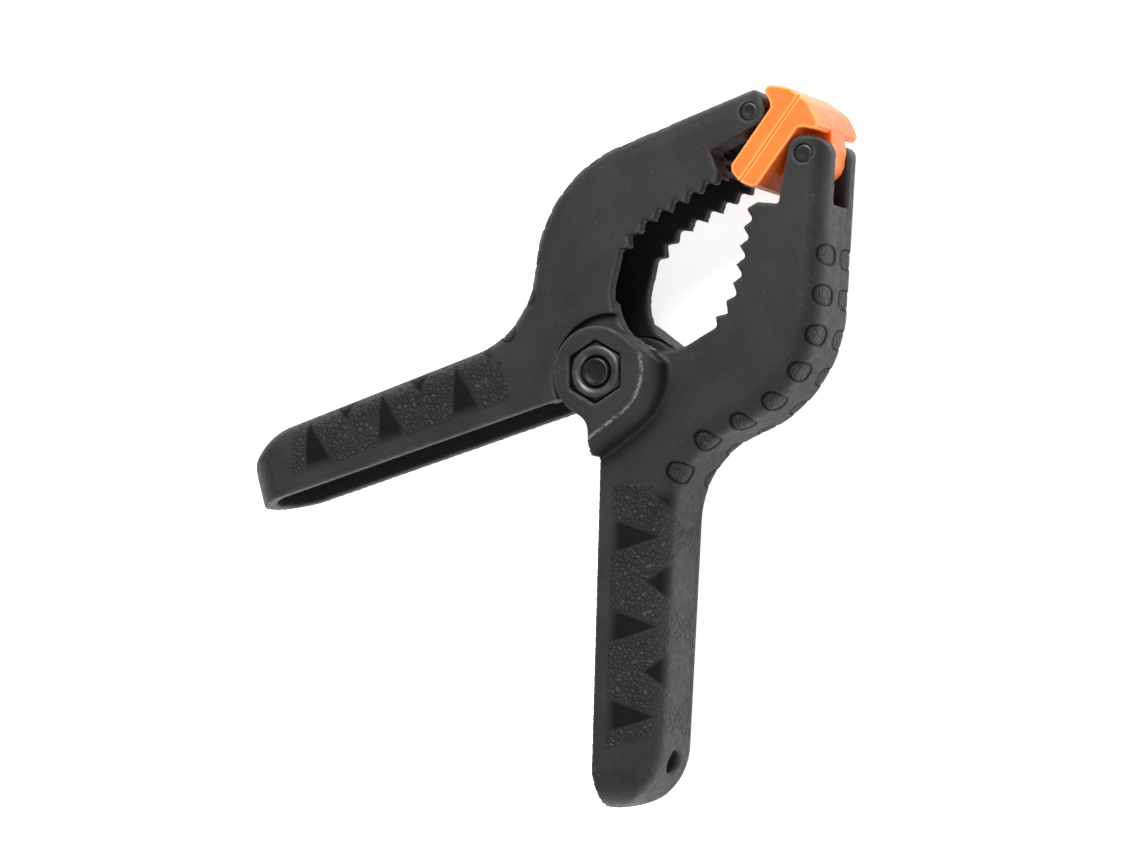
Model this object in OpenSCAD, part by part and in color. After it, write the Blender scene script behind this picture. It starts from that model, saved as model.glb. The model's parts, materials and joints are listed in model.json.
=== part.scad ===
// Hand spring clamp: two identical moulded levers on a pivot bolt, closed by a torsion spring,
// with a swivelling pad on each jaw. It lies on its side: +Z is the pivot axis, +Y runs along
// the closed jaws, and the two halves meet on the plane X = 0.
// The origin is under the middle of the clamp, on the surface that it rests on.

/* [Jaws] */
// Distance from the pivot to the pad pins, along the jaws
reach = 56.3; // [47:0.1:68]
// Distance from the closing plane to a pad pin
pin_offset = 7; // [6.6:0.1:8.4]
// Distance from a pad pin to the outer face of its jaw
pin_to_back = 4.5; // [4.2:0.1:5.4]
// Radius of the rounded tip round each pad pin
tip_r = 3.3; // [3:0.1:3.4]
// Slope of the outer face of a jaw, from the closing plane
jaw_slope = 34.1; // [31:0.1:36]
// Half of the widest breadth over both jaws
belly_x = 31; // [28:0.5:36]
// Radius of the outer bend of a jaw
bend_r = 26; // [22:0.5:30]
// Radius of the round throat between the jaws
throat_r = 11.4; // [10:0.1:12.4]
// Distance from the pivot to the middle of the throat
throat_y = 19.5; // [18.6:0.1:22]

/* [Teeth] */
// Distance from one tooth to the next
tooth_pitch = 3.55; // [3:0.05:4.2]
// Slope of the row of teeth, from the closing plane
tooth_slope = 26.5; // [22:0.5:30]
// Number of teeth in the straight part of the row
straight_teeth = 4; // [3:1:5]
// Turn of the row at each tooth after the straight part
tooth_turn = 12; // [6:1:14]

/* [Handles] */
// Slope of the outer face of a handle, from the closing plane
handle_slope = 34.7; // [31:0.1:38]
// Distance from the pivot to the line of the outer face of a handle
handle_back = 14.1; // [12:0.1:17]
// Slope of the open edge of a handle, from the closing plane
edge_slope = 36.2; // [35:0.1:40]
// How far the open edge passes behind the pivot
edge_back = 1.2; // [0.6:0.1:2]
// Radius of the waist between jaw and handle
waist_r = 18; // [15:0.5:22]
// Length of the straight outer face of a handle
handle_len = 43.4; // [36:0.1:53]
// Radius of the rounded handle end, seen from the side
nose_r = 12.5; // [11:0.1:14]
// Radius of the hanging hole in a handle end
hang_r = 2.2; // [1.8:0.1:2.8]
// Angle of the hanging hole on the rounded end, from the X axis
hang_angle = 20; // [10:1:30]

/* [Shell] */
// Width of a lever over its side walls
lever_w = 19; // [17:0.5:23]
// Thickness of the side walls
side_wall = 2.5; // [2:0.1:3]
// Thickness of the outer web
web = 2.6; // [2:0.1:3.2]
// Radius along the outer corners
corner_r = 4; // [3:0.1:5]

/* [Pivot] */
// Radius of the pivot bolt's shank
bolt_r = 3; // [2.5:0.05:3.5]
// Size across the flats of the nut and the bolt head
hex_af = 10; // [9:0.5:10.5]
// Thickness of the nut
nut_h = 5; // [4:0.1:5.5]
// Thickness of the bolt head
head_h = 4; // [3:0.1:4.5]
// Clearance round the nut and the head in their pockets
hex_gap = 0.35; // [0.1:0.05:0.5]
// Radius of the round end of an outer ear
ear_r = 8.8; // [8.6:0.1:9.2]
// Radius of the base of the shoulder behind an outer ear
shoulder_r = 12.5; // [12:0.1:13]
// Radius along the shoulder's rounded edge
shoulder_round = 3.4; // [2:0.1:3.5]
// Angle at which the shoulder leaves its round and runs straight
shoulder_angle = -18.2; // [-24:0.1:-12]
// Height of an outer ear over the side wall
ear_rise = 6; // [5:0.1:7]
// Radius of the round end of an inner ear
inner_ear_r = 8.4; // [8:0.1:8.5]
// Thickness of an inner ear
inner_ear_t = 2.9; // [2.4:0.1:3.2]
// Radius of the sunk face round the pivot
sunk_r = 11.6; // [10.5:0.1:12]
// Depth of that face below the side wall
sunk_depth = 1.5; // [1:0.1:2]
// Gap between an outer ear and the inner ear under it
ear_gap = 0.1; // [0.05:0.05:0.3]
// Radius of the sleeve inside the coil
sleeve_r = 4.6; // [4.3:0.1:4.8]
// Radial clearance of the shank in its bores
bolt_gap = 0.08; // [0.03:0.01:0.1]

// Radius of the hollow corner below an outer ear
fillet_r = 4; // [2:0.5:5]

/* [Spring] */
// Radius of the spring wire
wire_r = 1; // [0.8:0.05:1.1]
// Radius of the coil, to the middle of the wire
coil_r = 6.1; // [6:0.05:6.5]
// Whole turns in the coil, besides the part turn between the legs
coil_turns = 3; // [2:1:3]
// Rise of the coil in one turn
coil_pitch = 2.25; // [2.2:0.05:2.4]
// Outward lean of each leg, from its handle
leg_lean = 7.3; // [5:0.1:10]

/* [Pads] */
// Length of a pad
pad_len = 20; // [18:0.1:21]
// How far a pad reaches past its pin
pad_over = 8.4; // [8:0.1:9]
// Width of a pad
pad_w = 20; // [18:0.5:24]
// Thickness of a pad's plate
pad_t = 3.4; // [2.6:0.1:3.5]
// Width of the pad's boss between the two ears
boss_w = 6.6; // [5:0.1:8]
// Radius of the pad's boss
boss_r = 4.1; // [3.6:0.1:4.4]
// Clearance of the pad round the ears and in their slot
pad_gap = 0.25; // [0.15:0.05:0.4]
// Half of the gap between the closed pads
face_gap = 0.05; // [0.05:0.05:0.2]
// Radius of a pad pin
pad_pin_r = 1.7; // [1.4:0.05:1.9]
// Radial clearance of a pad pin
pin_gap = 0.06; // [0.03:0.01:0.1]
// How far the ends of a pad pin are sunk
pin_sunk = 0.5; // [0.2:0.1:1]

/* [Hidden] */
$fn = 96;
plastic = "#2b2b2d";
orange = "#ff6a1f";
steel = "#4a4a4c";

far = 200;                       // past the end of anything
lap = 1;                         // overlap of solids that join
corner_steps = 8;                // flats across a rounded corner
corner_run = 0.3;                // how far a corner's last flat runs on past its arc
nose_over = 0.5;                 // a handle's round end is this much rounder than half its width
seam = 0.4;                      // overlap of the cuts that round a corner
half_w = lever_w / 2;
inner_w = half_w - side_wall;
ear_top = half_w + ear_rise;     // outer face of an outer ear
ear_low = half_w - sunk_depth + ear_gap;
inner_top = half_w - sunk_depth; // outer face of an inner ear
inner_low = inner_top - inner_ear_t;
nut_face = ear_top - 0.2;
hex_turn = 8;                    // how far the nut's corners are turned from the X axis
pocket_floor = nut_face - nut_h;

function dir(a) = [cos(a), sin(a)];
function along(p, a, d) = p + d * dir(a);
function dot2(a, b) = a[0] * b[0] + a[1] * b[1];

// Outer path of a right-hand lever: jaw line, bend, waist, handle line, nose.
// A line is held by the direction of its outward normal and its distance from the pivot.
pad_pin = [pin_offset, reach];
jaw_n = jaw_slope;
jaw_c = dot2(dir(jaw_n), pad_pin) + pin_to_back;
bend_c = [belly_x - bend_r, (jaw_c - bend_r - cos(jaw_n) * (belly_x - bend_r)) / sin(jaw_n)];
hand_n = handle_slope;
// The waist's centre is a waist radius outside the handle line and touches the bend.
waist_s = handle_back + waist_r - dot2(dir(hand_n), bend_c);
waist_t = sqrt(pow(bend_r + waist_r, 2) - waist_s * waist_s);
waist_c = bend_c + waist_s * dir(hand_n) + waist_t * dir(hand_n - 90);
bend_end = atan2(waist_c[1] - bend_c[1], waist_c[0] - bend_c[0]);
hand_start = along(waist_c, hand_n, -waist_r);
hand_end = along(hand_start, hand_n - 90, handle_len);
nose_c = along(hand_end, hand_n, -nose_r);

// Open edge of the handle: its normal points into the lever.
edge_n = edge_slope;
edge_p = -edge_back * dir(edge_n);
nose_s = dot2(nose_c, dir(edge_n - 90));
nose_off = dot2(nose_c, dir(edge_n)) + edge_back;
nose_tip = nose_s + sqrt(nose_r * nose_r - nose_off * nose_off);
nose_end = along(edge_p, edge_n - 90, nose_tip);

pad_top = reach + pad_over;
pivot_y = -(pad_top + nose_end[1]) / 2;

// Inner side of a jaw, measured from the pad pin.
notch_in = pad_pin + [1.8, -10.4];
notch_lip = pad_pin + [-1.9, -12.6];
first_tip = pad_pin + [-3, -14.9];
throat_in = along([0, throat_y], -18, throat_r);
tooth_room = norm(first_tip - [throat_r, throat_y + 3]);
teeth = max(2, floor(tooth_room / tooth_pitch + 0.3));
function row_slope(i) = tooth_slope - max(0, i - straight_teeth) * tooth_turn;
function tooth_tip(i) = i == 0 ? first_tip
    : tooth_tip(i - 1) + tooth_pitch * [sin(row_slope(i)), -cos(row_slope(i))];
// A valley is half a pitch deep, so each tooth is square.
function valley(i) = (tooth_tip(i) + tooth_tip(i + 1)) / 2
    + tooth_pitch / 2 * [cos(row_slope(i + 1)), sin(row_slope(i + 1))];
tooth_row = [for (i = [0 : 2 * teeth]) i % 2 == 0 ? tooth_tip(i / 2) : valley((i - 1) / 2)];
row_end = tooth_tip(teeth) + tooth_pitch * 0.5 * [1 - 0.2, -1 + 0.2];
slot_back = along(pad_pin, jaw_n - 90, 9.2) + 1 * dir(jaw_n);

function arc(c, r, from, to, steps) =
    [for (k = [0 : steps]) along(c, from + (to - from) * k / steps, r)];

// Flats that touch the arc from outside, so the arc's ends lie in the middle of straight runs.
function flats(c, r, from, to, steps) =
    let (half = (to - from) / steps / 2)
    [for (k = [0 : steps - 1]) along(c, from + (2 * k + 1) * half, r / cos(half))];

// Outer path drawn in by d: past the jaw tip, bend, waist, nose, and back on the inner side.
function back_path(d) = concat(
    [along(pad_pin, jaw_n, pin_to_back - d) + 30 * dir(jaw_n + 90)],
    flats(bend_c, bend_r - d, jaw_n, bend_end, 18),
    flats(waist_c, waist_r + d, bend_end + 180, hand_n + 180, 18),
    flats(nose_c, nose_r - d, hand_n, hand_n - 130, 24),
    [along(nose_c, hand_n, -far / 4), [-far / 4, 0], [-far / 4, far / 2]]);

// Inner side: round tip, notch, teeth, throat, pivot and open edge. It runs far past the back.
tip_c = along(pad_pin, jaw_n, pin_to_back - tip_r);
tip_left = 180 + atan2(notch_in[0] - pad_pin[0], pad_pin[1] - notch_in[1]);
front_path = concat(
    [along(tip_c, jaw_n + 8, far)],
    arc(tip_c, tip_r, jaw_n + 8, jaw_n + 90, 12),
    arc(pad_pin, tip_r, jaw_n + 90, tip_left, 12),
    [notch_in, notch_lip], tooth_row, [row_end, throat_in, [0, throat_in[1]], [0, 0], edge_p,
    along(edge_p, edge_n - 90, far), [far, -far]]);

module lever_front() {
    difference() {
        translate([0, 0, -lever_w])
            linear_extrude(2 * lever_w)
                polygon(front_path);
        translate([0, throat_y, -far])
            cylinder(r = throat_r, h = 2 * far);
    }
}

// What is cut away to round an outer corner: x runs outward from the outer face, y is the
// lever's width.
corner_at = [-corner_r, half_w - corner_r];
// The cut leaves the flat side at a slight slope.
corner_path = concat(arc(corner_at, corner_r, 0, 90 - 90 / corner_steps, corner_steps - 1),
                     [corner_at + [-corner_run, corner_r + 0.02],
                      corner_at + [-corner_run, corner_r + lap],
                      [2 * lap, half_w + lap], [2 * lap, corner_at[1]]]);

module corner_line(p, normal, len) {
    for (side = [0, 1])
        mirror([0, 0, side])
            translate([p[0], p[1], 0])
                rotate([0, 0, normal])
                    rotate([90, 0, 0])
                        linear_extrude(len)
                            polygon(corner_path);
}

// The outer face is on the far side of the arc, or on the near side of a hollow one.
module corner_arc(c, r, from, to, hollow = false) {
    for (side = [0, 1])
        mirror([0, 0, side])
            translate([c[0], c[1], 0])
                rotate([0, 0, from])
                    rotate_extrude(angle = to - from)
                        translate([r, 0])
                            mirror([hollow ? 1 : 0, 0])
                                polygon(corner_path);
}

// Channel-shaped lever with rounded outer corners.
module lever_shell() {
    jaw_top = along(pad_pin, jaw_n, pin_to_back) + 20 * dir(jaw_n + 90);
    bend_top = along(bend_c, jaw_n, bend_r);
    difference() {
        intersection() {
            translate([0, 0, -half_w])
                linear_extrude(lever_w)
                    polygon(back_path(0));
            lever_front();
        }
        lever_hollow();
        corner_line(jaw_top, jaw_n, norm(bend_top - jaw_top) + seam);
        corner_arc(bend_c, bend_r, bend_end - 1, jaw_n);
        corner_arc(waist_c, waist_r, bend_end + 180, hand_n + 180, true);
        corner_line(hand_start, hand_n, handle_len + seam);
        corner_arc(nose_c, nose_r, hand_n - 130, hand_n);
        nose_corners(half_w + nose_over, nose_tip);
    }
}

// What is cut away to make a handle end round across the handle.
module nose_corners(r, end) {
    rotate([0, 0, edge_n])
        translate([-far / 2, r - end, 0])
            difference() {
                translate([0, -2 * r, -lever_w])
                    cube([far, 2 * r, 2 * lever_w]);
                rotate([0, 90, 0])
                    cylinder(r = r, h = far);
            }
}

// Hollow between the side walls, open towards the other lever.
module lever_hollow() {
    floor_a = atan2(slot_back[1] - notch_in[1], slot_back[0] - notch_in[0]);
    roof = first_tip + [0.4, 0.7];
    difference() {
        translate([0, 0, -inner_w])
            linear_extrude(2 * inner_w)
                polygon(back_path(web));
        translate([roof[0], roof[1], -lever_w])
            rotate([0, 0, floor_a])
                translate([-far / 2, 0, 0])
                    cube([far, far, 2 * lever_w]);
        nose_corners(inner_w + nose_over, nose_tip - web);
    }
}

// Slot in the jaw tip that the pad's boss swings in.
module tip_slot() {
    slot_w = boss_w + 2 * pad_gap;
    down = atan2(slot_back[1] - notch_in[1], slot_back[0] - notch_in[0]);
    linear_extrude(slot_w, center = true)
        polygon([notch_in - 12 * dir(down), slot_back + 12 * dir(down),
                 slot_back + 12 * dir(down) + 30 * dir(down + 90),
                 notch_in - 12 * dir(down) + 30 * dir(down + 90)]);
}

// The hollow corner below an outer ear is rounded. Its centre is its radius off the open edge
// and off the round ear.
fillet_s = edge_back + fillet_r;
fillet_t = sqrt(pow(ear_r + fillet_r, 2) - fillet_s * fillet_s);
fillet_c = -fillet_s * dir(edge_n) + fillet_t * dir(edge_n - 90);
fillet_a = atan2(-fillet_c[1], -fillet_c[0]);

// Outline of an outer ear beside its round end: a flat top, and the open edge below.
ear_path = concat([[0, 0], [0, ear_r], [far / 4, ear_r], along(edge_p, edge_n - 90, far / 4)],
                  arc(fillet_c, fillet_r, edge_n, fillet_a, 12));

// The raised shoulder: a round about the pivot, then a straight run to the open edge.
module shoulder_section() {
    square([shoulder_r - shoulder_round, ear_top]);
    square([shoulder_r, ear_top - shoulder_round]);
    translate([shoulder_r - shoulder_round, ear_top - shoulder_round])
        circle(r = shoulder_round);
}

module shoulder_form() {
    rotate([0, 0, shoulder_angle])
        rotate_extrude(angle = 130)
            shoulder_section();
    rotate([0, 0, shoulder_angle])
        rotate([90, 0, 0])
            linear_extrude(far / 4)
                shoulder_section();
}

module outer_ear() {
    intersection() {
        shoulder_form();
        translate([0, 0, inner_w])
            linear_extrude(ear_top)
                polygon(ear_path);
    }
    translate([0, 0, ear_low])
        cylinder(r = ear_r, h = ear_top - ear_low);
}

// Round inner ear, under the other lever's outer ear, with the sleeve inside the coil.
module inner_ear() {
    translate([0, 0, -inner_top])
        cylinder(r = inner_ear_r, h = inner_ear_t);
    intersection() {
        lever_front();
        translate([0, 0, -inner_top])
            cylinder(r = sunk_r + 2.5, h = inner_ear_t);
    }
    translate([0, 0, -inner_low - lap])
        cylinder(r = sleeve_r, h = inner_low + lap - ear_gap);
}

// Right-hand lever about the pivot, with its outer ear on the +Z side.
module lever() {
    floor_z = pocket_floor;
    difference() {
        union() {
            difference() {
                union() {
                    lever_shell();
                    outer_ear();
                }
                // room for the other lever's inner ear, and the sunk face on the far wall
                translate([0, 0, -half_w - lap])
                    cylinder(r = inner_ear_r + pad_gap, h = half_w + lap + ear_low);
                translate([0, 0, -half_w - lap])
                    cylinder(r = sunk_r, h = sunk_depth + lap);
            }
            inner_ear();
        }
        translate([0, 0, -far])
            cylinder(r = bolt_r + bolt_gap, h = 2 * far);
        translate([0, 0, floor_z])
            hex_prism(hex_af + 2 * hex_gap, far);
        tip_slot();
        translate([pad_pin[0], pad_pin[1], -far])
            cylinder(r = pad_pin_r + pin_gap, h = 2 * far);
        hang_hole();
    }
}

module hex_prism(af, h) {
    rotate([0, 0, hex_turn])
        cylinder(r = af / sqrt(3), h = h, $fn = 6);
}

// Hanging hole through the outer web, with a small countersink.
module hang_hole() {
    translate([nose_c[0], nose_c[1], 0])
        rotate([0, 0, hang_angle])
            rotate([0, 90, 0]) {
                translate([0, 0, nose_r - web - 3])
                    cylinder(r = hang_r, h = web + 6);
                translate([0, 0, nose_r - 0.6])
                    cylinder(r1 = hang_r, r2 = hang_r + 1.2, h = 1.2);
            }
}

// Right-hand pad about the pivot: plate, hook over the tip, and boss in the slot.
module pad() {
    low = pad_top - pad_len;
    ear_room = pin_to_back + pad_gap;
    // The plate's back runs up into an arch that the lever's tip turns under.
    arch_from = 180 - acos((pad_pin[0] - pad_t) / ear_room);
    arch_to = 90 + asin(1.1 / ear_room);
    profile = concat(
        [[face_gap, low], [pad_t - 0.9, low + 0.6], [pad_t, low + 1.6]],
        arc(pad_pin, ear_room, arch_from, arch_to, 8),
        [pad_pin + [-0.5, ear_room + 0.3], [pad_pin[0] - 0.5, pad_top - 2.2],
         [pad_pin[0] - 1, pad_top - 1.8], [4.4, pad_top - 0.9], [2.4, pad_top - 0.1],
         [face_gap, pad_top]]);
    difference() {
        union() {
            linear_extrude(pad_w, center = true)
                polygon(profile);
            linear_extrude(boss_w, center = true) {
                translate(pad_pin + [-0.3, -0.6])
                    circle(r = boss_r);
                polygon([[pad_t - lap, low + 4], [pad_pin[0] + 1, reach - 4.6],
                         [pad_pin[0] + 3.6, reach + 0.6], [pad_pin[0] + 2.2, reach + 3.4],
                         [pad_pin[0] - 0.5, pad_top - 2.3], [pad_t - lap, pad_top - 2]]);
            }
        }
        translate([pad_pin[0], pad_pin[1], -far])
            cylinder(r = pad_pin_r + pin_gap, h = 2 * far);
    }
}

module pad_pin_solid() {
    end = half_w - pin_sunk;
    translate([pad_pin[0], pad_pin[1], -end])
        cylinder(r = pad_pin_r, h = 2 * end);
}

// One swept wire: right leg, coil, left leg.
leg_a = hand_n - 90 + leg_lean;
coil_start = leg_a + 90;
coil_sweep = 2 * (90 - coil_start) + 360 * coil_turns;
coil_h = coil_sweep / 360 * coil_pitch;
leg_room = handle_back - web - wire_r - 0.2;
leg_len = (leg_room - coil_r * cos(leg_lean)) / sin(leg_lean);
coil_rings = 72;
wire_sides = 10;
wire_path = concat(
    [for (k = [3 : -1 : 1]) [coil_r * cos(coil_start) + leg_len * k / 3 * cos(leg_a),
                             coil_r * sin(coil_start) + leg_len * k / 3 * sin(leg_a), coil_h / 2]],
    [for (k = [0 : coil_rings]) let (a = coil_start + coil_sweep * k / coil_rings)
        [coil_r * cos(a), coil_r * sin(a), coil_h / 2 - coil_h * k / coil_rings]],
    [for (k = [1 : 3]) [-coil_r * cos(coil_start) - leg_len * k / 3 * cos(leg_a),
                        coil_r * sin(coil_start) + leg_len * k / 3 * sin(leg_a), -coil_h / 2]]);

function unit(v) = v / norm(v);
function wire_dir(i) = unit(wire_path[min(i + 1, len(wire_path) - 1)] - wire_path[max(i - 1, 0)]);
function wire_ring(i) = let (t = wire_dir(i), u = unit(cross(t, [0, 0, 1])), v = cross(t, u))
    [for (k = [0 : wire_sides - 1]) let (a = 360 * k / wire_sides)
        wire_path[i] + wire_r * (cos(a) * u + sin(a) * v)];

module wire() {
    n = len(wire_path);
    m = wire_sides;
    points = [for (i = [0 : n - 1]) each wire_ring(i)];
    sides = [for (i = [0 : n - 2], k = [0 : m - 1])
        [i * m + k, (i + 1) * m + k, (i + 1) * m + (k + 1) % m, i * m + (k + 1) % m]];
    first = [for (k = [0 : m - 1]) k];
    last = [for (k = [m - 1 : -1 : 0]) (n - 1) * m + k];
    polyhedron(points = points, faces = concat([first], sides, [last]));
}

// Places a piece drawn about the pivot.
module placed() {
    translate([0, pivot_y, ear_top])
        children();
}

module left_half() {
    rotate([0, 180, 0])
        children();
}

module left_lever() { color(plastic) placed() left_half() lever(); }
module right_lever() { color(plastic) placed() lever(); }
module left_pad() { color(orange) placed() left_half() pad(); }
module right_pad() { color(orange) placed() pad(); }
module left_pad_pin() { color(steel) placed() left_half() pad_pin_solid(); }
module right_pad_pin() { color(steel) placed() pad_pin_solid(); }

module pivot_bolt() {
    color(steel)
        placed() {
            translate([0, 0, -pocket_floor - head_h])
                left_half_hex();
            translate([0, 0, -pocket_floor - lap])
                cylinder(r = bolt_r, h = pocket_floor + nut_face + lap);
        }
}

// The head sits in the pocket of the left-hand lever's outer ear.
module left_half_hex() {
    rotate([0, 0, -2 * hex_turn])
        hex_prism(hex_af, head_h);
}

module pivot_nut() {
    color(steel)
        placed()
            translate([0, 0, pocket_floor])
                difference() {
                    hex_prism(hex_af, nut_h);
                    translate([0, 0, -lap])
                        cylinder(r = bolt_r + bolt_gap, h = nut_h + 2 * lap);
                }
}

module torsion_spring() { color(steel) placed() wire(); }

left_lever();
right_lever();
left_pad();
right_pad();
left_pad_pin();
right_pad_pin();
pivot_bolt();
pivot_nut();
torsion_spring();
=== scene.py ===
import bpy
import bmesh
import json
import math
import numpy as np
from mathutils import Matrix, Vector


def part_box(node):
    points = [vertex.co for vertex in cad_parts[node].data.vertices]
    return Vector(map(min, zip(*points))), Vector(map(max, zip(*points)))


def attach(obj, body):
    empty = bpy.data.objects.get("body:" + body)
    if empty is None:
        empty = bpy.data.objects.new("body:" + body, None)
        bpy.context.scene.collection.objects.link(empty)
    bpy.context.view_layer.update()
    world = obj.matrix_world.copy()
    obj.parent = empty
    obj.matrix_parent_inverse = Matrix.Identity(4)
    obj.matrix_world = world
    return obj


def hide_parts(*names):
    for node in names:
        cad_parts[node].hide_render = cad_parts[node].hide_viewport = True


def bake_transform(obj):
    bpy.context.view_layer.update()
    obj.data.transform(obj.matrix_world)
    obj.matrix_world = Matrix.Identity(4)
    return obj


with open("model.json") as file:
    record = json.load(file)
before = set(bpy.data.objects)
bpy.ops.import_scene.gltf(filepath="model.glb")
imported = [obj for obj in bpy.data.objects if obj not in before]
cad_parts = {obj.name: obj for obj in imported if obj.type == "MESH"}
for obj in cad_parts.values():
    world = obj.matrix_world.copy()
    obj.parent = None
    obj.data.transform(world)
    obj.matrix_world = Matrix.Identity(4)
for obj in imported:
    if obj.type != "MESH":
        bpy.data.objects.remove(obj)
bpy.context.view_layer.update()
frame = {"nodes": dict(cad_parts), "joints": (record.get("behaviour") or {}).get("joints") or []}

mm = 0.001
joints = {j["name"]: j for j in frame["joints"]}
pivot = np.array(joints["jaw_hinge"]["pos_m"])          # on the bolt's axis, half way through the clamp
padPin = (np.array(joints["right_pad_swivel"]["pos_m"]) - pivot) / mm


# camera: place and axes are counted from the pivot, x right, y to the jaws, z along the bolt
view = {
    "place": (297.7, 143.4, 696.8),
    "across": (0.7095, 0.5554, -0.4337),
    "up": (-0.5874, 0.8062, 0.0714),
    "lens": 126.3,
    "filmWidth": 36.0,
}


def makeCamera():
    camData = bpy.data.cameras.new("camera")
    camData.lens = view["lens"]
    camData.sensor_width = view["filmWidth"]
    camData.clip_start = 0.01
    camData.clip_end = 20
    cam = bpy.data.objects.new("camera", camData)
    bpy.context.scene.collection.objects.link(cam)
    across = Vector(view["across"]).normalized()
    back = across.cross(Vector(view["up"])).normalized()
    up = back.cross(across)
    turn = Matrix((across, up, back)).transposed().to_4x4()
    cam.matrix_world = Matrix.Translation(Vector(pivot) + Vector(view["place"]) * mm) @ turn
    bpy.context.scene.camera = cam


makeCamera()
bpy.context.scene.view_settings.view_transform = "Standard"
print("camera set")


# every material is built from these few helpers

def newMaterial(name):
    mat = bpy.data.materials.new(name)
    mat.use_nodes = True
    nodes = mat.node_tree.nodes
    shader = nodes["Principled BSDF"]
    coords = nodes.new("ShaderNodeTexCoord")
    return mat, mat.node_tree, shader, coords


def addNoise(tree, coords, scale, detail=3.0, roughness=0.5, stretch=None):
    noise = tree.nodes.new("ShaderNodeTexNoise")
    noise.inputs["Scale"].default_value = scale
    noise.inputs["Detail"].default_value = detail
    noise.inputs["Roughness"].default_value = roughness
    source = coords.outputs["Object"]
    if stretch:
        mapping = tree.nodes.new("ShaderNodeMapping")
        mapping.inputs["Scale"].default_value = stretch
        tree.links.new(source, mapping.inputs["Vector"])
        source = mapping.outputs["Vector"]
    tree.links.new(source, noise.inputs["Vector"])
    return noise.outputs["Fac"]


def addRamp(tree, value, stops):
    ramp = tree.nodes.new("ShaderNodeValToRGB")
    ramp.color_ramp.elements[0].position = stops[0][0]
    ramp.color_ramp.elements[0].color = (*stops[0][1], 1)
    ramp.color_ramp.elements[1].position = stops[-1][0]
    ramp.color_ramp.elements[1].color = (*stops[-1][1], 1)
    for at, colour in stops[1:-1]:
        ramp.color_ramp.elements.new(at).color = (*colour, 1)
    tree.links.new(value, ramp.inputs["Fac"])
    return ramp.outputs["Color"]


def addRange(tree, value, fromLow, fromHigh, toLow, toHigh):
    node = tree.nodes.new("ShaderNodeMapRange")
    node.inputs["From Min"].default_value = fromLow
    node.inputs["From Max"].default_value = fromHigh
    node.inputs["To Min"].default_value = toLow
    node.inputs["To Max"].default_value = toHigh
    tree.links.new(value, node.inputs["Value"])
    return node.outputs["Result"]


def addMath(tree, operation, a, b):
    node = tree.nodes.new("ShaderNodeMath")
    node.operation = operation
    for socket, value in zip(node.inputs, (a, b)):
        if isinstance(value, (int, float)):
            socket.default_value = value
        else:
            tree.links.new(value, socket)
    return node.outputs["Value"]


def addMix(tree, share, a, b, blend="MIX"):
    node = tree.nodes.new("ShaderNodeMix")
    node.data_type = "RGBA"
    node.blend_type = blend
    node.clamp_factor = True
    if isinstance(share, (int, float)):
        node.inputs["Factor"].default_value = share
    else:
        tree.links.new(share, node.inputs["Factor"])
    for socket, value in ((node.inputs["A"], a), (node.inputs["B"], b)):
        if isinstance(value, tuple):
            socket.default_value = (*value, 1)
        else:
            tree.links.new(value, socket)
    return node.outputs["Result"]


def addBump(tree, height, distance, strength, below=None):
    bump = tree.nodes.new("ShaderNodeBump")
    bump.inputs["Distance"].default_value = distance
    bump.inputs["Strength"].default_value = strength
    tree.links.new(height, bump.inputs["Height"])
    if below:
        tree.links.new(below, bump.inputs["Normal"])
    return bump.outputs["Normal"]


def addAttribute(tree, name):
    node = tree.nodes.new("ShaderNodeAttribute")
    node.attribute_name = name
    return node.outputs["Fac"]


# charcoal plastic of the levers: fine speckle, pebbled grip bands, painted highlights on the edges
lever = {
    "dark": (0.0085, 0.0085, 0.0092),
    "pale": (0.017, 0.017, 0.018),
    "smoothPatch": (0.0022, 0.0022, 0.0024),
    "edge": (0.09, 0.09, 0.093),
    "flash": (0.17, 0.17, 0.175),
    "pebble": 1.0,               # size of a pebble, mm
    "pebbleHeight": 0.26,        # mm
    "voxel": 0.40,               # mesh size, mm
    "settle": 5,                 # smoothing passes
}


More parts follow.
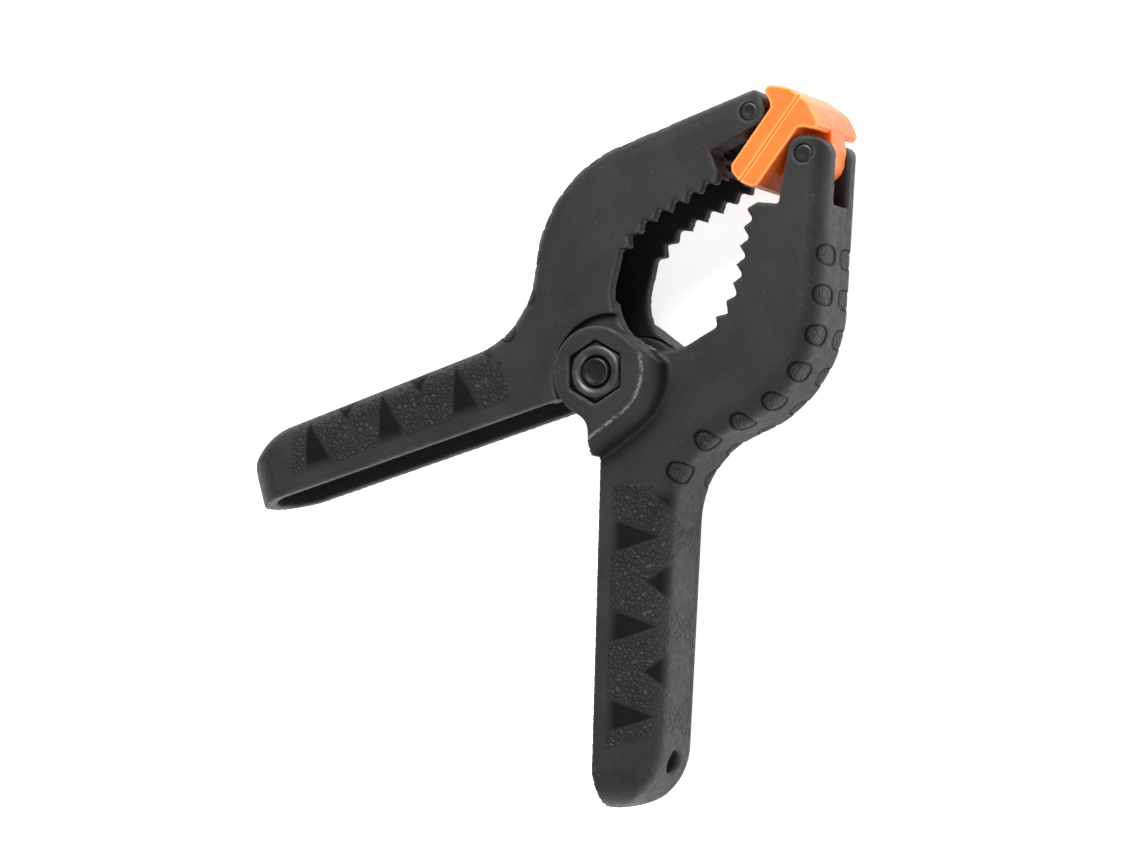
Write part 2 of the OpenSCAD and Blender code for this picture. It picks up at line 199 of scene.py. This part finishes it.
def leverPlastic():
    mat, tree, shader, coords = newMaterial("leverPlastic")
    cloud = addNoise(tree, coords, 90, 4, 0.6)
    colour = addRamp(tree, cloud, [(0.3, lever["dark"]), (0.7, lever["pale"])])
    speck = addNoise(tree, coords, 2600, 2, 0.5)
    colour = addMix(tree, addRange(tree, speck, 0.69, 0.76, 0, 0.55), colour, (0.16, 0.16, 0.16))
    # the grip attribute is a signed distance in mm: above 0 inside a pebbled band
    band = addRange(tree, addAttribute(tree, "grip"), -0.08, 0.12, 0, 1)
    patch = addAttribute(tree, "patch")
    colour = addMix(tree, addMath(tree, "MULTIPLY", patch, 0.8), colour, lever["smoothPatch"])
    warp = tree.nodes.new("ShaderNodeTexNoise")
    warp.inputs["Scale"].default_value = 500
    tree.links.new(coords.outputs["Object"], warp.inputs["Vector"])
    bent = tree.nodes.new("ShaderNodeVectorMath")
    bent.operation = "MULTIPLY_ADD"
    tree.links.new(warp.outputs["Color"], bent.inputs[0])
    bent.inputs[1].default_value = (0.0007, 0.0007, 0.0007)
    tree.links.new(coords.outputs["Object"], bent.inputs[2])
    cells = tree.nodes.new("ShaderNodeTexVoronoi")
    cells.feature = "DISTANCE_TO_EDGE"
    cells.inputs["Scale"].default_value = 1 / (lever["pebble"] * mm)
    tree.links.new(bent.outputs["Vector"], cells.inputs["Vector"])
    dome = addRange(tree, cells.outputs["Distance"], 0.0, 0.30, 0, 1)
    # painted shade: the crevices between pebbles darkened inside the grip band
    crackShade = addRange(tree, cells.outputs["Distance"], 0.0, 0.10, 1, 0)
    colour = addMix(tree, addMath(tree, "MULTIPLY", addMath(tree, "MULTIPLY", crackShade, band), 0.75),
                    colour, (0.005, 0.005, 0.005))
    # painted highlight: convex edges lightened to a pale grey, broken up by the cloud noise
    edgeHighlight = addMath(tree, "MULTIPLY", addRange(tree, addAttribute(tree, "edge"), 0.35, 1.0, 0, 0.5), cloud)
    colour = addMix(tree, edgeHighlight, colour, lever["edge"])
    rim = addMath(tree, "ABSOLUTE", addAttribute(tree, "dish"), 0)
    # painted shade: near black in the sunk trench round each dimple
    colour = addMix(tree, addRange(tree, rim, 0.05, 0.32, 0.85, 0), colour, (0.002, 0.002, 0.002))
    # the smooth triangles and the dimples' outlines shine less than the rest
    shine = addMath(tree, "MULTIPLY", addRange(tree, patch, 0, 1, 0.24, 0.07),
                    addRange(tree, rim, 0.05, 0.35, 0.1, 1))
    tree.links.new(shine, shader.inputs["Specular IOR Level"])
    # moulding flash: a thin ragged line, broken up by noise
    torn = addRange(tree, addNoise(tree, coords, 1500, 3, 0.7), 0.36, 0.58, 0, 1)
    flash = addMath(tree, "MULTIPLY", addAttribute(tree, "flash"), torn)
    colour = addMix(tree, flash, colour, lever["flash"])
    tree.links.new(colour, shader.inputs["Base Color"])
    rough = addRange(tree, addNoise(tree, coords, 700, 3), 0.3, 0.7, 0.46, 0.62)
    tree.links.new(rough, shader.inputs["Roughness"])
    grain = addBump(tree, addNoise(tree, coords, 3200, 2), 0.03 * mm, 0.35)
    waves = addBump(tree, addNoise(tree, coords, 140, 2), 0.25 * mm, 0.25, grain)
    pebbles = addBump(tree, addMath(tree, "MULTIPLY", dome, band), lever["pebbleHeight"] * mm, 1.0, waves)
    tree.links.new(pebbles, shader.inputs["Normal"])
    return mat


# orange pads: light scatters inside, deeper and redder where the plastic is thick or shaded
pad = {
    "orange": (0.93, 0.125, 0.010),
    "light": (0.98, 0.175, 0.022),
    "edge": (1.0, 0.33, 0.09),
    "voxel": 0.22,
    "settle": 4,
}


def padPlastic():
    mat, tree, shader, coords = newMaterial("padPlastic")
    shader.inputs["Subsurface Weight"].default_value = 0.3
    shader.inputs["Subsurface Radius"].default_value = (1.0, 0.22, 0.05)
    shader.inputs["Subsurface Scale"].default_value = 1.6 * mm
    shader.inputs["Specular IOR Level"].default_value = 0.3
    cloud = addNoise(tree, coords, 120, 3)
    colour = addRamp(tree, cloud, [(0.3, pad["orange"]), (0.75, pad["light"])])
    # painted highlight: the pads' edges lightened to a paler orange
    rim = addRange(tree, addAttribute(tree, "edge"), 0.15, 0.8, 0, 0.8)
    colour = addMix(tree, rim, colour, pad["edge"])
    tree.links.new(colour, shader.inputs["Base Color"])
    rough = addRange(tree, addNoise(tree, coords, 500, 3), 0.3, 0.7, 0.36, 0.50)
    tree.links.new(rough, shader.inputs["Roughness"])
    grain = addBump(tree, addNoise(tree, coords, 2400, 2), 0.02 * mm, 0.3)
    flow = addBump(tree, addNoise(tree, coords, 160, 2, 0.5, (1, 0.35, 1)), 0.15 * mm, 0.25, grain)
    tree.links.new(flow, shader.inputs["Normal"])
    return mat


def blackenedSteel(name, low, high, roughLow, roughHigh):
    mat, tree, shader, coords = newMaterial(name)
    shader.inputs["Metallic"].default_value = 0.7
    cloud = addNoise(tree, coords, 420, 4, 0.6)
    colour = addRamp(tree, cloud, [(0.32, low), (0.72, high)])
    scuff = addNoise(tree, coords, 900, 3, 0.7, (1, 5, 1))
    colour = addMix(tree, addRange(tree, scuff, 0.64, 0.78, 0, 0.4), colour, (0.10, 0.10, 0.102))
    # painted highlight: convex edges of the nut, bolt and pins lightened, broken up by noise
    edgeHighlight = addMath(tree, "MULTIPLY", addRange(tree, addAttribute(tree, "edge"), 0.35, 1.0, 0, 0.8), cloud)
    colour = addMix(tree, edgeHighlight, colour, (0.11, 0.11, 0.113))
    tree.links.new(colour, shader.inputs["Base Color"])
    tree.links.new(addRange(tree, scuff, 0.3, 0.7, roughLow, roughHigh), shader.inputs["Roughness"])
    tree.links.new(addBump(tree, cloud, 0.05 * mm, 0.35), shader.inputs["Normal"])
    return mat


def springWire():
    mat, tree, shader, coords = newMaterial("springWire")
    shader.inputs["Metallic"].default_value = 1.0
    cloud = addNoise(tree, coords, 600, 3, 0.6)
    colour = addRamp(tree, cloud, [(0.3, (0.16, 0.155, 0.15)), (0.7, (0.34, 0.335, 0.33))])
    tree.links.new(colour, shader.inputs["Base Color"])
    tree.links.new(addRange(tree, cloud, 0.3, 0.7, 0.26, 0.42), shader.inputs["Roughness"])
    tree.links.new(addBump(tree, addNoise(tree, coords, 2500, 2), 0.02 * mm, 0.4), shader.inputs["Normal"])
    return mat


leverMat = leverPlastic()
padMat = padPlastic()
blackMat = blackenedSteel("blackSteel", (0.006, 0.006, 0.0063), (0.013, 0.013, 0.0135), 0.28, 0.44)
pinMat = blackenedSteel("pinSteel", (0.007, 0.007, 0.0075), (0.022, 0.022, 0.023), 0.22, 0.42)
wireMat = springWire()
print("materials made")


def readPoints(mesh):
    flat = np.empty(len(mesh.vertices) * 3)
    mesh.vertices.foreach_get("co", flat)
    return flat.reshape(-1, 3)


def writePoints(mesh, points):
    mesh.vertices.foreach_set("co", points.ravel())
    mesh.update()


def readEdges(mesh):
    flat = np.empty(len(mesh.edges) * 2, np.int64)
    mesh.edges.foreach_get("vertices", flat)
    return flat.reshape(-1, 2)


def readNormals(mesh):
    flat = np.empty(len(mesh.vertices) * 3)
    mesh.vertex_normals.foreach_get("vector", flat)
    return flat.reshape(-1, 3)


def neighbourMean(values, edges):
    # each point's mean over the points that share an edge with it
    count = np.bincount(edges.ravel(), minlength=len(values))[:, None]
    total = np.stack([np.bincount(edges[:, 0], values[edges[:, 1], k], len(values))
                      + np.bincount(edges[:, 1], values[edges[:, 0], k], len(values))
                      for k in range(values.shape[1])], 1)
    return total / np.maximum(count, 1)


def setAttribute(mesh, name, values):
    layer = mesh.attributes.get(name) or mesh.attributes.new(name, "FLOAT", "POINT")
    layer.data.foreach_set("value", values.astype(np.float32))


def markEdges(mesh, reach):
    # how far a point stands out from its neighbours, along its normal, spread over a few rings
    points, edges = readPoints(mesh), readEdges(mesh)
    stand = ((points - neighbourMean(points, edges)) * readNormals(mesh)).sum(1, keepdims=True)
    for _ in range(2):
        stand = 0.5 * stand + 0.5 * neighbourMean(stand, edges)
    setAttribute(mesh, "edge", np.clip(stand[:, 0] / (reach * mm), 0, 1))


def finishPiece(mesh, name, material, slot, body, *nodes):
    mesh.materials.clear()
    mesh.materials.append(material)
    mesh.polygons.foreach_set("use_smooth", np.ones(len(mesh.polygons), bool))
    piece = bpy.data.objects.new(name, mesh)
    bpy.context.scene.collection.objects.link(piece)
    if body:
        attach(piece, body)
    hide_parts(*nodes)
    return piece


def mouldedCopy(node, voxel, settle):
    # the CAD solid as one even skin of small quads, with its corners eased by a few smoothing
    # passes: each pass moves a point half way to its neighbours' mean, then a little further back
    source = frame["nodes"][node]
    work = bmesh.new()
    work.from_mesh(source.data)
    bmesh.ops.remove_doubles(work, verts=work.verts, dist=0.0005 * mm)
    merged = bpy.data.meshes.new(node + "Merged")
    work.to_mesh(merged)
    work.free()
    carrier = bpy.data.objects.new(node + "Carrier", merged)
    bpy.context.scene.collection.objects.link(carrier)
    remesh = carrier.modifiers.new("skin", "REMESH")
    remesh.mode = "VOXEL"
    remesh.voxel_size = voxel * mm
    bpy.context.view_layer.update()
    evaluated = carrier.evaluated_get(bpy.context.evaluated_depsgraph_get())
    mesh = bpy.data.meshes.new_from_object(evaluated)
    bpy.data.objects.remove(carrier)
    bpy.data.meshes.remove(merged)
    points, edges = readPoints(mesh), readEdges(mesh)
    for _ in range(settle):
        points = points + 0.5 * (neighbourMean(points, edges) - points)
        points = points - 0.52 * (neighbourMean(points, edges) - points)
    writePoints(mesh, points)
    return mesh


# grip and dimples, measured on a right-hand lever from the pivot, in mm
grip = {
    "edgeSlope": 36.2,           # the open edge's normal, degrees from x
    "edgeBack": 1.2,
    "halfWidth": 9.5,
    "start": 21.1,               # along the handle from the pivot
    "end": 72.0,
    "inset": 2.9,                # smooth strip beside the open edge
    "period": 17.0,
    "firstInner": 30.9,
    "innerHalf": 3.4,            # inner smooth triangles: half base, then foot and apex
    "innerFoot": 3.2,
    "innerApex": 14.2,
    "outerApex": 9.6,            # outer smooth triangles run over the back
    "outerSpread": 0.50,
    "endLean": 0.27,             # the last band's end leans back by this share
    "skin": 7.6,                 # further out than this is the side's outer face
    "backFrom": 13.2,            # further over than this is the back
}
dimples = {
    "count": 8,
    "first": 8.3,                # along the back's outline from the start of the waist
    "pitch": 7.65,
    "cornerRadius": 4.0,
    "middle": 1.5,               # round the corner, counted from the back's flat
    "drift": 0.33,               # each one further along sits this much nearer the back
    "long": 3.5,
    "wide": 1.9,
    "depth": 0.26,
}
outline = {
    "handleSlope": 34.7,         # the handle back's normal, degrees from x
    "handleBack": 14.1,          # from the pivot to the handle's back
    "waistRadius": 18.0,
    "bendRadius": 26.0,
    "belly": 31.0,               # the widest point's x
    "jawSlope": 34.1,            # the jaw back's normal, degrees from x
    "pinToBack": 4.5,            # from the pad pin to the jaw's back
    "jawLength": 24.0,
}
shoulder = {
    "angle": -18.2,
    "radius": 9.75,
    "height": 15.5,
    "width": 0.30,
}


def direction(degrees):
    return np.array([math.cos(math.radians(degrees)), math.sin(math.radians(degrees))])


def arcPoints(centre, radius, start, end, count):
    turned = np.radians(np.linspace(start, end, count))
    out = np.stack([np.cos(turned), np.sin(turned)], 1)
    return centre + radius * out, out


def backOutline(count=400):
    # the back's outline as points with outward normals: a hollow arc, a full arc, then a straight.
    # The full arc touches the jaw's back and reaches out to the belly. The hollow arc touches it
    # from outside and touches the handle's back.
    jaw = direction(outline["jawSlope"])
    bendX = outline["belly"] - outline["bendRadius"]
    reach = padPin[:2] @ jaw + outline["pinToBack"] - outline["bendRadius"]
    bend = np.array([bendX, (reach - jaw[0] * bendX) / jaw[1]])
    handle = direction(outline["handleSlope"])
    down = direction(outline["handleSlope"] - 90)
    foot = (outline["handleBack"] + outline["waistRadius"]) * handle
    apart = outline["bendRadius"] + outline["waistRadius"]
    across = (bend - foot) @ handle
    waist = foot + ((bend - foot) @ down + math.sqrt(apart ** 2 - across ** 2)) * down
    meet = math.degrees(math.atan2(bend[1] - waist[1], bend[0] - waist[0]))
    hollow, hollowOut = arcPoints(waist, outline["waistRadius"], outline["handleSlope"] + 180, meet, count)
    full, fullOut = arcPoints(bend, outline["bendRadius"], meet - 180, outline["jawSlope"], count)
    run = np.linspace(0, outline["jawLength"], count)[:, None]
    straight = full[-1] + run * np.array([-jaw[1], jaw[0]])
    points = np.vstack([hollow, full, straight])
    normals = np.vstack([-hollowOut, fullOut, np.repeat(jaw[None], count, 0)])
    steps = np.linalg.norm(np.diff(points, axis=0), axis=1)
    return points, normals, np.concatenate([[0], np.cumsum(steps)])


def handleCoordinates(local):
    # along runs down the handle from the pivot; over starts at the open edge, crosses the side and
    # carries on round the back, so it grows by the distance from the side plane as well
    slope = math.radians(grip["edgeSlope"])
    over = local[:, 0] * math.cos(slope) + local[:, 1] * math.sin(slope) + grip["edgeBack"]
    along = local[:, 0] * math.sin(slope) - local[:, 1] * math.cos(slope)
    return along, over, over + grip["halfWidth"] - np.abs(local[:, 2])


def gripDistance(local):
    # signed distance to the edge of the pebbled band: a strip less two rows of triangles, each
    # side of a triangle taken as a straight slope in along and wrapped over
    along, over, wrap = handleCoordinates(local)
    phase = np.abs((along - grip["firstInner"] + grip["period"] / 2) % grip["period"] - grip["period"] / 2)
    innerHalf = grip["innerHalf"] * (grip["innerApex"] - wrap) / (grip["innerApex"] - grip["innerFoot"])
    outerHalf = grip["outerSpread"] * (wrap - grip["outerApex"])
    fromInner = phase - innerHalf
    fromOuter = (grip["period"] / 2 - phase) - outerHalf
    strip = np.minimum.reduce([along - grip["start"], grip["end"] - along - grip["endLean"] * over,
                                over - grip["inset"]])
    onSkin = np.abs(local[:, 2]) - grip["skin"]
    onBack = over - grip["backFrom"]
    return np.minimum.reduce([fromInner, fromOuter, strip, np.maximum(onSkin, onBack)])


def patchShare(local):
    # 1 inside a smooth triangle, fading out towards the open edge and the middle of the back
    along, over, wrap = handleCoordinates(local)
    phase = np.abs((along - grip["firstInner"] + grip["period"] / 2) % grip["period"] - grip["period"] / 2)
    innerHalf = grip["innerHalf"] * (grip["innerApex"] - wrap) / (grip["innerApex"] - grip["innerFoot"])
    outerHalf = grip["outerSpread"] * (wrap - grip["outerApex"])
    inner = np.clip((innerHalf - phase) / 0.5, 0, 1) * np.clip((over - 2.6) / 2.0, 0, 1)
    outer = np.clip((outerHalf - grip["period"] / 2 + phase) / 0.5, 0, 1) * np.clip((20 - wrap) / 6, 0, 1)
    within = np.clip((along - grip["start"] - 1) / 2, 0, 1) * np.clip((grip["end"] - 3 - along) / 2, 0, 1)
    outside = np.maximum(np.abs(local[:, 2]) - grip["skin"], over - grip["backFrom"]) > 0
    return np.maximum(inner, outer) * within * outside


def dimpleShape(local):
    # each dimple is an oval laid over the outer corner: one axis runs along the back's outline,
    # the other round the corner. Inside it the skin sinks, with a narrow trench at its edge.
    points, normals, lengths = backOutline()
    inside = np.full(len(local), -9.0)
    radius = dimples["cornerRadius"]
    for k in range(dimples["count"]):
        at = np.searchsorted(lengths, dimples["first"] + k * dimples["pitch"])
        away = local[:, :2] - points[at]
        run = away @ np.array([-normals[at, 1], normals[at, 0]])
        out = away @ normals[at] + radius
        rise = np.abs(local[:, 2]) - grip["halfWidth"] + radius
        turned = np.arctan2(np.maximum(rise, 0), np.maximum(out, 1e-6)) * radius
        wrapped = np.where(out < 0, radius * math.pi / 2 - out, np.where(rise < 0, rise, turned))
        middle = dimples["middle"] - k * dimples["drift"]
        oval = (np.abs(run / dimples["wide"]) ** 2.6
                + np.abs((wrapped - middle) / dimples["long"]) ** 2.6) ** (1 / 2.6)
        near = (np.hypot(np.maximum(out, 0), np.maximum(rise, 0)) > radius - 1.2) & (np.abs(run) < 4)
        inside = np.maximum(inside, np.where(near, (1 - oval) * dimples["wide"], -9))
    trench = np.exp(-((inside - 0.1) / 0.28) ** 2)
    sink = 0.35 * np.clip(inside / 0.3, 0, 1) + 0.65 * trench
    return sink * dimples["depth"], inside


def flashShare(local):
    # 1 on the top edge of the outer ear's shoulder: an arc about the pivot, then a straight run
    # away from it at the shoulder's angle, both near the ear's outer face
    slope = math.radians(shoulder["angle"])
    ahead = local[:, 0] * math.cos(slope) + local[:, 1] * math.sin(slope)
    aside = -local[:, 0] * math.sin(slope) + local[:, 1] * math.cos(slope)
    fromArc = np.where(aside > 0, np.hypot(ahead, aside), ahead) - shoulder["radius"]
    depth = np.abs(np.abs(local[:, 2]) - shoulder["height"])
    line = np.clip(1.2 - np.abs(fromArc) / shoulder["width"], 0, 1) * np.clip(1.5 - depth / 0.35, 0, 1)
    return line * (ahead > 2.5) * (local[:, 2] > 0)


def makeLever(node, side, body):
    mesh = mouldedCopy(node, lever["voxel"], lever["settle"])
    points = readPoints(mesh)
    normal = readNormals(mesh)
    flip = np.array([side, 1, side])                 # a left lever is a right one turned half round
    local = (points - pivot) / mm * flip
    sink, inside = dimpleShape(local)
    writePoints(mesh, points - normal * (sink * mm)[:, None])
    markEdges(mesh, 0.05)
    band = gripDistance(local)
    dish = inside - 0.3
    setAttribute(mesh, "grip", np.clip(np.maximum(band, dish), -3, 3))
    setAttribute(mesh, "patch", patchShare(local))
    setAttribute(mesh, "dish", np.clip(inside, -3, 3))
    setAttribute(mesh, "flash", flashShare(local))
    finishPiece(mesh, node + "Shell", leverMat, "lever_plastic", body, node)
    print(node, "shell", len(mesh.polygons), "quads")


def makePad(node, body):
    mesh = mouldedCopy(node, pad["voxel"], pad["settle"])
    markEdges(mesh, 0.02)
    finishPiece(mesh, node + "Moulding", padMat, "pad_plastic", body, node)
    print(node, "moulding", len(mesh.polygons), "quads")


def closedRings(rings):
    # rings is an array of rings by points by 3; the first and last ring are closed by a fan
    ringCount, pointCount = rings.shape[:2]
    first = rings[0].mean(0)
    last = rings[-1].mean(0)
    points = np.vstack([rings.reshape(-1, 3), first, last])
    i = np.arange(ringCount - 1)[:, None] * pointCount
    k = np.arange(pointCount)[None, :]
    k2 = (k + 1) % pointCount
    sides = np.stack([i + k, i + k2, i + pointCount + k2, i + pointCount + k], -1).reshape(-1, 4)
    k, k2 = k[0], k2[0]
    low = np.stack([np.full_like(k, ringCount * pointCount), k2, k], -1)
    top = (ringCount - 1) * pointCount
    high = np.stack([np.full_like(k, ringCount * pointCount + 1), top + k, top + k2], -1)
    return points, sides.tolist() + low.tolist() + high.tolist()


def torusRings(rings):
    # as closedRings, but the last ring joins the first
    ringCount, pointCount = rings.shape[:2]
    i = np.arange(ringCount)[:, None]
    k = np.arange(pointCount)[None, :]
    i2, k2 = (i + 1) % ringCount, (k + 1) % pointCount
    sides = np.stack([i * pointCount + k, i * pointCount + k2,
                      i2 * pointCount + k2, i2 * pointCount + k], -1).reshape(-1, 4)
    return rings.reshape(-1, 3), sides.tolist()


def newMesh(name, points, faces):
    mesh = bpy.data.meshes.new(name)
    mesh.from_pydata(points.tolist(), [], faces)
    work = bmesh.new()
    work.from_mesh(mesh)
    bmesh.ops.recalc_face_normals(work, faces=work.faces)
    work.to_mesh(mesh)
    work.free()
    mesh.update()
    return mesh


# bolt and nut: 10 mm across flats, M6
hexFit = {
    "flats": 10.0,
    "turn": 8.0,
    "chamfer": 30.0,
    "thread": 0.28,
    "pitch": 1.0,
    "shank": 3.0,
    "around": 144,
}


def hexRadius(angle):
    # distance from the axis to the side of a hexagon, with a corner at angle 0
    turned = np.mod(angle, math.pi / 3) - math.pi / 6
    return hexFit["flats"] / 2 / np.cos(turned)


def hexRings(low, high, innerRadius, chamferLow, chamferHigh, turn):
    # rings from the inner edge of the low face, out and up the six sides, to the inner edge of
    # the high face. Each face drops away outside a circle, which leaves arcs on the sides.
    angle = np.linspace(0, 2 * math.pi, hexFit["around"], endpoint=False)
    side = hexRadius(angle)
    circle = hexFit["flats"] / 2 * 0.95
    slope = math.tan(math.radians(hexFit["chamfer"]))

    def ring(radius, height):
        direction = angle + math.radians(turn)
        radius = np.broadcast_to(radius, angle.shape)
        height = np.broadcast_to(height, angle.shape)
        return np.stack([radius * np.cos(direction), radius * np.sin(direction), height], -1)

    rings = [ring(innerRadius, low), ring(circle, low)]
    drop = (side - circle) * slope
    for share in (0.35, 0.7, 0.93):
        rings.append(ring(circle + (side - circle) * share, low + drop * share * chamferLow))
    rings.append(ring(side, low + drop * chamferLow + 0.08))
    rings.append(ring(side, (low + high) / 2))
    rings.append(ring(side, high - drop * chamferHigh - 0.08))
    for share in (0.93, 0.7, 0.35):
        rings.append(ring(circle + (side - circle) * share, high - drop * share * chamferHigh))
    rings.append(ring(circle, high))
    rings.append(ring(innerRadius + 0.05, high))
    return rings, ring


def makeNut():
    low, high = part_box("pivot_nut")
    low, high = (low.z - pivot[2]) / mm, (high.z - pivot[2]) / mm
    bore = hexFit["shank"] + 0.08
    rings, ring = hexRings(low, high, bore + 0.45, 1, 1, hexFit["turn"])
    rings.append(ring(bore + 0.1, high - 0.4))
    rings.append(ring(bore, high - 0.6))
    rings.append(ring(bore, low + 0.6))
    rings.append(ring(bore + 0.1, low + 0.4))
    points, faces = torusRings(np.stack(rings))
    mesh = newMesh("nut", points * mm + pivot, faces)
    markEdges(mesh, 0.05)
    return finishPiece(mesh, "nut", blackMat, "black_steel", "right_lever", "pivot_nut")


def makeBolt():
    low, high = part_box("pivot_bolt")
    low, high = (low.z - pivot[2]) / mm, (high.z - pivot[2]) / mm
    headHigh = low + 4.0
    rings, ring = hexRings(low, headHigh, hexFit["shank"] + 0.1, 1, 0, -hexFit["turn"])
    rings[0] = ring(0.6, low)
    angle = np.linspace(0, 2 * math.pi, hexFit["around"], endpoint=False)
    rings.append(ring(hexFit["shank"], headHigh + 0.2))
    # a thread: the radius falls by a triangle wave of height less a share of the angle
    heights = np.arange(headHigh + 0.3, high - 0.75, 0.1)
    for height in heights:
        wave = np.abs(np.mod(height / hexFit["pitch"] - angle / (2 * math.pi), 1) * 2 - 1)
        rings.append(ring(hexFit["shank"] - hexFit["thread"] * wave, height))
    rings.append(ring(hexFit["shank"] - 0.22, high - 0.6))
    rings.append(ring(hexFit["shank"] - 0.32, high - 0.28))
    rings.append(ring(hexFit["shank"] - 0.55, high - 0.04))
    rings.append(ring(hexFit["shank"] - 0.75, high))
    rings.append(ring(hexFit["shank"] - 0.95, high - 0.10))
    rings.append(ring(1.0, high - 0.16))
    points, faces = closedRings(np.stack(rings))
    mesh = newMesh("bolt", points * mm + pivot, faces)
    markEdges(mesh, 0.05)
    return finishPiece(mesh, "bolt", blackMat, "black_steel", "left_lever", "pivot_bolt")


def makePin(node, body):
    # a headless pin: domed ends with a shallow dimple where it was pressed in
    low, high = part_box(node)
    centre = np.array([(low.x + high.x) / 2, (low.y + high.y) / 2, 0])
    radius = (high.x - low.x) / 2
    profile = [(0.25, 0.10), (0.62, 0.02), (0.86, 0.0), (0.96, 0.06), (1.0, 0.22)]
    angle = np.linspace(0, 2 * math.pi, 64, endpoint=False)
    rings = []
    for share, down in profile:
        rings.append((share, low.z + down * mm))
    for share, down in reversed(profile):
        rings.append((share, high.z - down * mm))
    rings = np.stack([np.stack([radius * s * np.cos(angle), radius * s * np.sin(angle),
                                np.full_like(angle, z)], -1) for s, z in rings]) + centre
    points, faces = closedRings(rings)
    mesh = newMesh(node + "Round", points, faces)
    markEdges(mesh, 0.05)
    return finishPiece(mesh, node + "Round", pinMat, "pin_steel", body, node)


# wire spring: a leg, three turns round the bolt's sleeve, a leg
wire = {
    "radius": 1.0,
    "coil": 6.1,
    "turns": 3,
    "pitch": 2.25,
    "lean": 7.3,
    "legRoom": 10.3,             # from the pivot to the inside of a handle's back
    "sides": 20,
}


def makeSpring():
    # the coil is (r cos a, r sin a, height falling by one pitch a turn); each leg leaves along
    # the coil's tangent, so it starts at right angles to the radius
    legAngle = outline["handleSlope"] - 90 + wire["lean"]
    start = legAngle + 90
    sweep = 2 * (90 - start) + 360 * wire["turns"]
    height = sweep / 360 * wire["pitch"]
    lean = math.radians(wire["lean"])
    legLength = (wire["legRoom"] - wire["coil"] * math.cos(lean)) / math.sin(lean)
    turned = np.radians(start + sweep * np.linspace(0, 1, 240))
    coil = np.stack([wire["coil"] * np.cos(turned), wire["coil"] * np.sin(turned),
                     np.linspace(height / 2, -height / 2, 240)], 1)
    away = legLength * np.linspace(1, 0.04, 24)[:, None]
    leg = np.radians(legAngle)
    first = coil[0] + away * np.array([math.cos(leg), math.sin(leg), 0])
    last = coil[-1] + away[::-1] * np.array([-math.cos(leg), math.sin(leg), 0])
    path = np.vstack([first, coil, last])
    ahead = np.gradient(path, axis=0)
    ahead /= np.linalg.norm(ahead, axis=1, keepdims=True)
    u = np.cross(ahead, [0, 0, 1.0])
    u /= np.linalg.norm(u, axis=1, keepdims=True)
    v = np.cross(ahead, u)
    angle = np.linspace(0, 2 * math.pi, wire["sides"], endpoint=False)[None, :, None]
    rings = path[:, None] + wire["radius"] * (np.cos(angle) * u[:, None] + np.sin(angle) * v[:, None])
    points, faces = closedRings(rings)
    mesh = newMesh("springWire", points * mm + pivot, faces)
    # the spring is attached to neither lever: it has no body, and its transform is baked into the mesh
    piece = finishPiece(mesh, "springWire", wireMat, "spring_steel", None, "torsion_spring")
    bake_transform(piece)


makeLever("left_lever", -1, "left_lever")
makeLever("right_lever", 1, "right_lever")
makePad("left_pad", "left_pad")
makePad("right_pad", "right_pad")
makePin("left_pad_pin", "left_lever")
makePin("right_pad_pin", "right_lever")
makeNut()
makeBolt()
makeSpring()
print("clamp made")


# floor and light
studio = {
    "floor": (0.86, 0.86, 0.86),
    "glow": 0.75,                # a lit table, so that it stays white under the clamp
    "world": 0.62,
    "key": 12.0,
    "fill": 2.0,
}


def makeStage():
    size = 1.6
    points = np.array([(-size, -size, 0), (size, -size, 0), (size, size, 0), (-size, size, 0)])
    mesh = newMesh("floor", points, [[0, 1, 2, 3]])
    mat, tree, shader, coords = newMaterial("floorPaint")
    shader.inputs["Roughness"].default_value = 0.9
    shader.inputs["Emission Color"].default_value = (1, 1, 1, 1)
    shader.inputs["Emission Strength"].default_value = studio["glow"]
    shade = addRamp(tree, addNoise(tree, coords, 3, 2), [(0.3, studio["floor"]), (0.7, (0.88, 0.88, 0.88))])
    tree.links.new(shade, shader.inputs["Base Color"])
    mesh.materials.append(mat)
    floor = bpy.data.objects.new("floor", mesh)
    bpy.context.scene.collection.objects.link(floor)
    world = bpy.data.worlds.new("studio")
    bpy.context.scene.world = world
    world.use_nodes = True
    world.node_tree.nodes["Background"].inputs["Color"].default_value = (1, 1, 1, 1)
    world.node_tree.nodes["Background"].inputs["Strength"].default_value = studio["world"]
    addLight("key", (-0.35, 0.45, 0.75), 0.5, studio["key"])
    addLight("fill", (0.6, -0.25, 0.55), 0.6, studio["fill"])


def addLight(name, place, size, power):
    lamp = bpy.data.lights.new(name, "AREA")
    lamp.size = size
    lamp.energy = power
    holder = bpy.data.objects.new(name, lamp)
    bpy.context.scene.collection.objects.link(holder)
    target = Vector(pivot)
    holder.location = target + Vector(place)
    holder.rotation_euler = (target - holder.location).to_track_quat("-Z", "Y").to_euler()


makeStage()
print("stage set")
